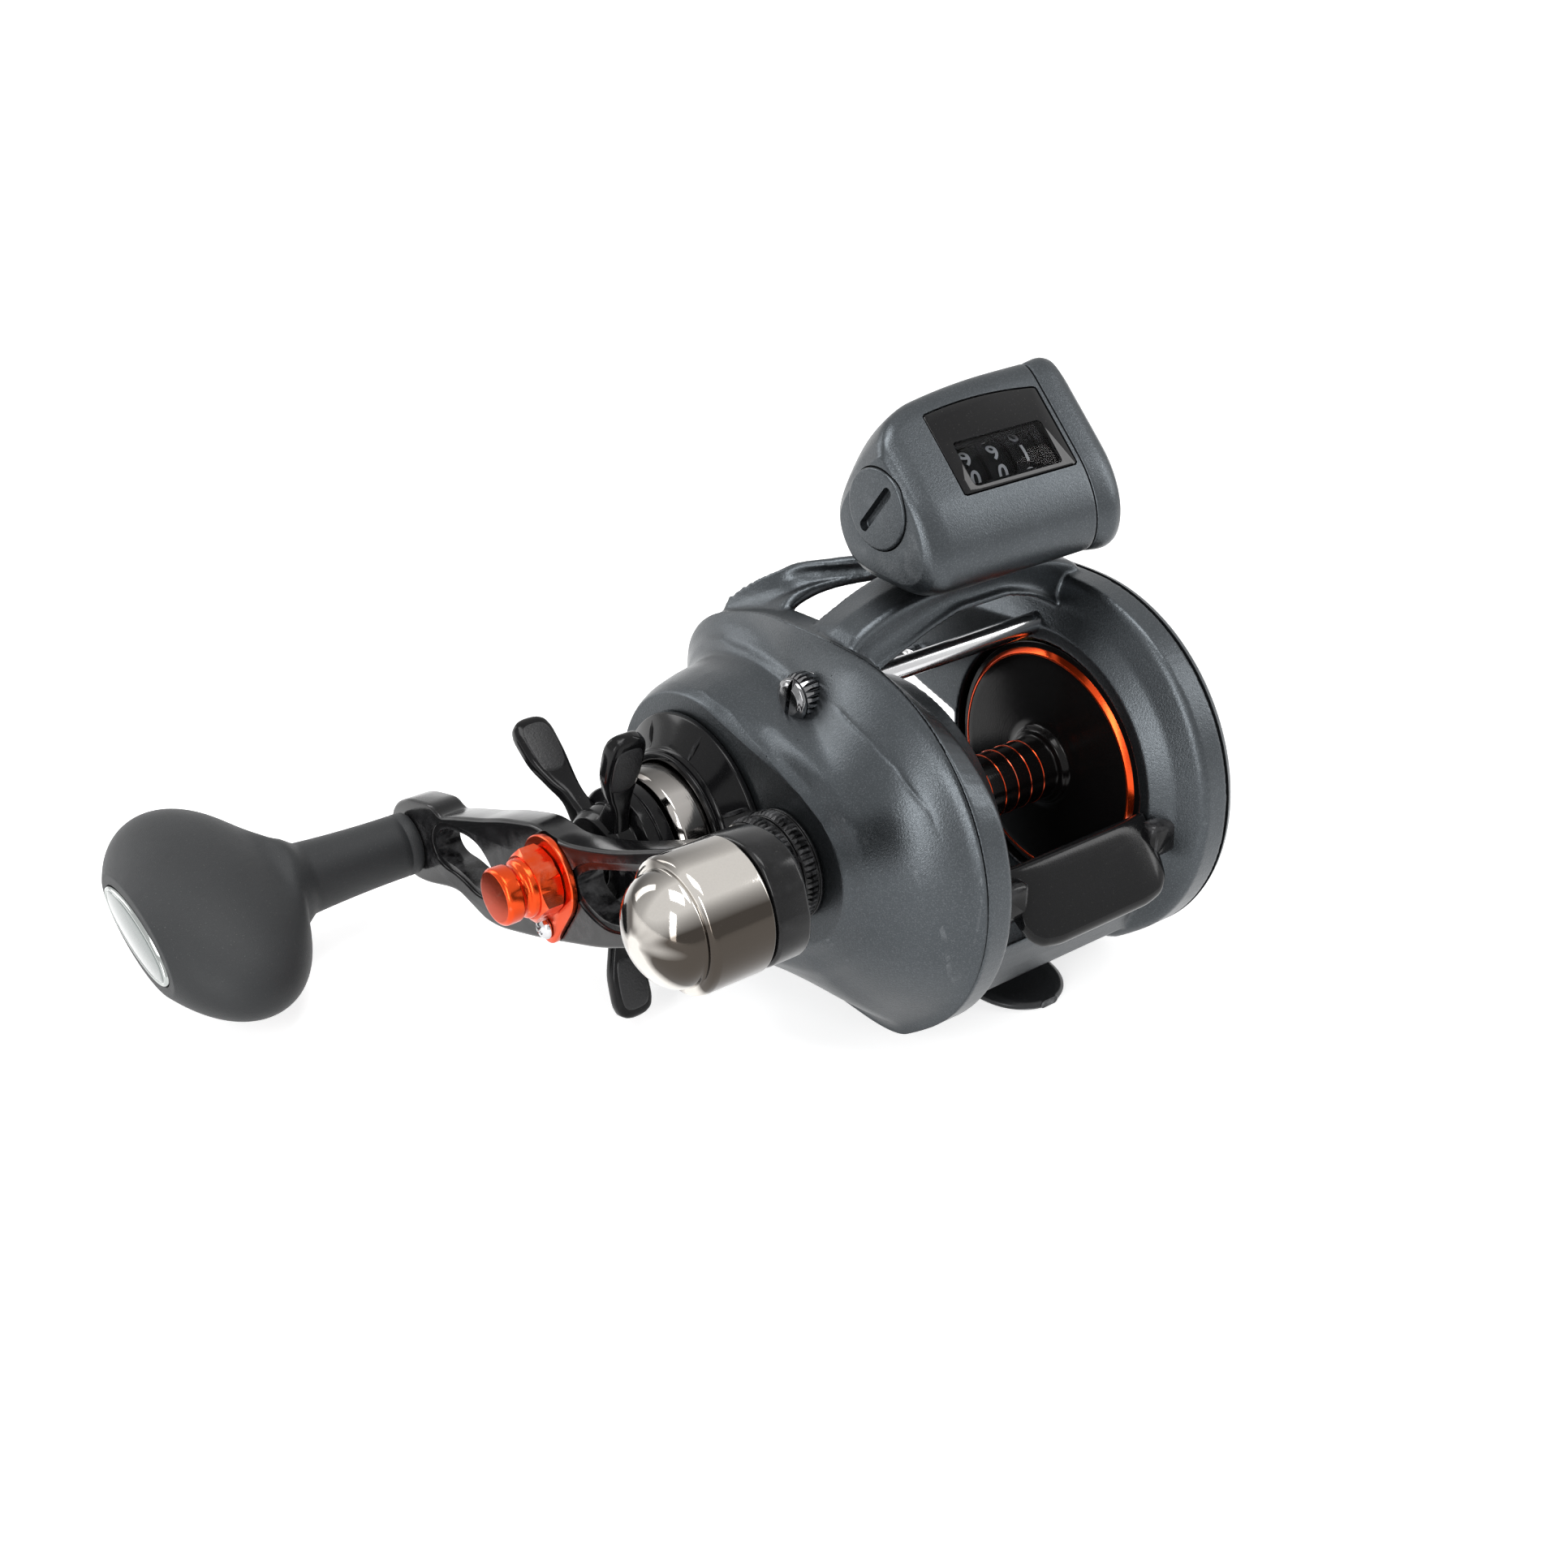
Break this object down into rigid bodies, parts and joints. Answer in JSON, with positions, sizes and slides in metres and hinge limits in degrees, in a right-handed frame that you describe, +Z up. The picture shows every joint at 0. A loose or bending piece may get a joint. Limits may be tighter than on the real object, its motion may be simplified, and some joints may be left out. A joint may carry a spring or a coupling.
{
  "type": "baitcasting reel",
  "caption": "Low-profile baitcasting fishing reel, handle on the left, with a line counter on its bridge, star drag, thumb bar and power handle with counterweight.",
  "frame": {"origin": "middle of the foot's underside, where it rests on the rod's reel seat", "axes": "+Z up from the rod, +Y toward the rod tip, +X to the angler's right; the handle is on the -X side"},
  "size_m": [0.153, 0.1326, 0.1015],
  "materials": {
    "frame": "satin gunmetal paint",
    "reel_foot": "satin black",
    "foot_screw_1": "bright steel",
    "foot_screw_2": "bright steel",
    "handle_side_cover": "satin gunmetal paint",
    "palm_side_cover": "satin gunmetal paint",
    "gear_plate": "machined",
    "spool_bearing_handle_side": "bright steel",
    "spool_bearing_palm_side": "bright steel",
    "drive_bearing": "bright steel",
    "anti_reverse_bearing": "bright steel",
    "brake_plate": "machined",
    "top_rod": "bright steel",
    "guide_rail": "bright steel",
    "drive_tube": "polished black chrome",
    "drive_trim": "gloss black anodised",
    "counter_housing": "satin gunmetal paint",
    "counter_end_cap": "satin gunmetal paint",
    "counter_window": "polished black",
    "counter_axle": "bright steel",
    "drive_shaft": "bright steel",
    "main_gear": "machined",
    "drag_washer": "matt black",
    "pressure_plate": "bright steel",
    "shaft_sleeve": "bright steel",
    "level_wind_drive_gear": "moulded",
    "handle_arm": "gloss black anodised",
    "handle_nut": "orange anodised",
    "nut_retainer": "orange anodised",
    "retainer_screw": "bright steel",
    "knob_spindle": "bright steel",
    "counterweight": "polished nickel",
    "handle_knob": "soft dark grey",
    "knob_end_plate": "gloss grey",
    "star_drag": "gloss black anodised",
    "spool": "gloss black anodised",
    "spool_shaft": "bright steel",
    "brake_rotor": "bright steel",
    "pinion": "machined",
    "clutch_yoke": "machined",
    "thumb_bar": "gloss black",
    "worm_shaft": "bright steel",
    "worm_gear": "moulded",
    "line_guide": "gloss black",
    "guide_insert": "bright steel",
    "cast_control_cap": "gloss black anodised",
    "cover_thumb_screw": "black chrome",
    "reset_dial": "satin gunmetal paint",
    "digit_wheel_hundreds": "matt black",
    "digit_wheel_tens": "matt black",
    "digit_wheel_units": "matt black"
  },
  "bodies": {
    "frame_body": {"frame": "frame", "reel_foot": "reel_foot", "foot_screw_1": "foot_screw_1", "foot_screw_2": "foot_screw_2", "handle_side_cover": "handle_side_cover", "palm_side_cover": "palm_side_cover", "gear_plate": "gear_plate", "spool_bearing_handle_side": "spool_bearing_handle_side", "spool_bearing_palm_side": "spool_bearing_palm_side", "drive_bearing": "drive_bearing", "anti_reverse_bearing": "anti_reverse_bearing", "brake_plate": "brake_plate", "top_rod": "top_rod", "guide_rail": "guide_rail", "drive_tube": "drive_tube", "drive_trim": "drive_trim", "counter_housing": "counter_housing", "counter_end_cap": "counter_end_cap", "counter_window": "counter_window", "counter_axle": "counter_axle"},
    "handle_body": {"drive_shaft": "drive_shaft", "main_gear": "main_gear", "drag_washer": "drag_washer", "pressure_plate": "pressure_plate", "shaft_sleeve": "shaft_sleeve", "level_wind_drive_gear": "level_wind_drive_gear", "handle_arm": "handle_arm", "handle_nut": "handle_nut", "nut_retainer": "nut_retainer", "retainer_screw": "retainer_screw", "knob_spindle": "knob_spindle", "counterweight": "counterweight"},
    "knob_body": {"handle_knob": "handle_knob", "knob_end_plate": "knob_end_plate"},
    "star_body": {"star_drag": "star_drag"},
    "spool_body": {"spool": "spool", "spool_shaft": "spool_shaft", "brake_rotor": "brake_rotor"},
    "yoke_body": {"clutch_yoke": "clutch_yoke"},
    "pinion_body": {"pinion": "pinion"},
    "thumb_bar_body": {"thumb_bar": "thumb_bar"},
    "worm_body": {"worm_shaft": "worm_shaft", "worm_gear": "worm_gear"},
    "guide_body": {"line_guide": "line_guide", "guide_insert": "guide_insert"},
    "cast_cap_body": {"cast_control_cap": "cast_control_cap"},
    "thumb_screw_body": {"cover_thumb_screw": "cover_thumb_screw"},
    "dial_body": {"reset_dial": "reset_dial"},
    "units_body": {"digit_wheel_units": "digit_wheel_units"},
    "tens_body": {"digit_wheel_tens": "digit_wheel_tens"},
    "hundreds_body": {"digit_wheel_hundreds": "digit_wheel_hundreds"}
  },
  "joints": [
    {"name": "handle_turn", "type": "hinge", "parent": "frame_body", "child": "handle_body", "pos_m": [-0.06, 0.01488, 0.03001], "axis": [1, 0, 0], "continuous": true},
    {"name": "knob_turn", "type": "hinge", "parent": "handle_body", "child": "knob_body", "pos_m": [-0.095, 0.06324, 0.01477], "axis": [1, 0, 0], "continuous": true},
    {"name": "star_turn", "type": "hinge", "parent": "handle_body", "child": "star_body", "pos_m": [-0.057, 0.01488, 0.03001], "axis": [1, 0, 0], "range_deg": [-270, 270]},
    {"name": "spool_turn", "type": "hinge", "parent": "frame_body", "child": "spool_body", "pos_m": [0, -0.01, 0.034], "axis": [1, 0, 0], "continuous": true},
    {"name": "thumb_bar_slide", "type": "slide", "parent": "frame_body", "child": "thumb_bar_body", "axis": [0, 0, -1], "range_m": [0, 0.004]},
    {"name": "yoke_slide", "type": "slide", "parent": "frame_body", "child": "yoke_body", "axis": [-1, 0, 0], "range_m": [0, 0.002]},
    {"name": "pinion_turn", "type": "hinge", "parent": "yoke_body", "child": "pinion_body", "pos_m": [-0.031, -0.01, 0.034], "axis": [1, 0, 0], "continuous": true},
    {"name": "worm_turn", "type": "hinge", "parent": "frame_body", "child": "worm_body", "pos_m": [0, 0.02287, 0.04199], "axis": [1, 0, 0], "continuous": true},
    {"name": "line_guide_slide", "type": "slide", "parent": "frame_body", "child": "guide_body", "axis": [1, 0, 0], "range_m": [-0.0084, 0.0084]},
    {"name": "cast_cap_turn", "type": "hinge", "parent": "frame_body", "child": "cast_cap_body", "pos_m": [-0.045, -0.01, 0.034], "axis": [1, 0, 0], "range_deg": [-270, 270]},
    {"name": "thumb_screw_turn", "type": "hinge", "parent": "frame_body", "child": "thumb_screw_body", "pos_m": [-0.03, -0.001, 0.0569], "axis": [1, 0, 0], "range_deg": [-360, 360]},
    {"name": "dial_turn", "type": "hinge", "parent": "frame_body", "child": "dial_body", "pos_m": [-0.017, -0.0024, 0.0856], "axis": [1, 0, 0], "range_deg": [-180, 180]},
    {"name": "units_turn", "type": "hinge", "parent": "frame_body", "child": "units_body", "pos_m": [0.0089, -0.0024, 0.0856], "axis": [1, 0, 0], "continuous": true},
    {"name": "tens_turn", "type": "hinge", "parent": "frame_body", "child": "tens_body", "pos_m": [0.0032, -0.0024, 0.0856], "axis": [1, 0, 0], "continuous": true},
    {"name": "hundreds_turn", "type": "hinge", "parent": "frame_body", "child": "hundreds_body", "pos_m": [-0.0025, -0.0024, 0.0856], "axis": [1, 0, 0], "continuous": true}
  ],
  "couplings": [
    {"joint": "spool_turn", "follows": "handle_turn", "ratio": -5.4615},
    {"joint": "pinion_turn", "follows": "handle_turn", "ratio": -5.4615},
    {"joint": "worm_turn", "follows": "handle_turn", "ratio": -1},
    {"joint": "yoke_slide", "follows": "thumb_bar_slide", "ratio": 0.5},
    {"joint": "units_turn", "follows": "handle_turn", "ratio": 0.18},
    {"joint": "tens_turn", "follows": "handle_turn", "ratio": 0.018},
    {"joint": "hundreds_turn", "follows": "handle_turn", "ratio": 0.0018}
  ]
}
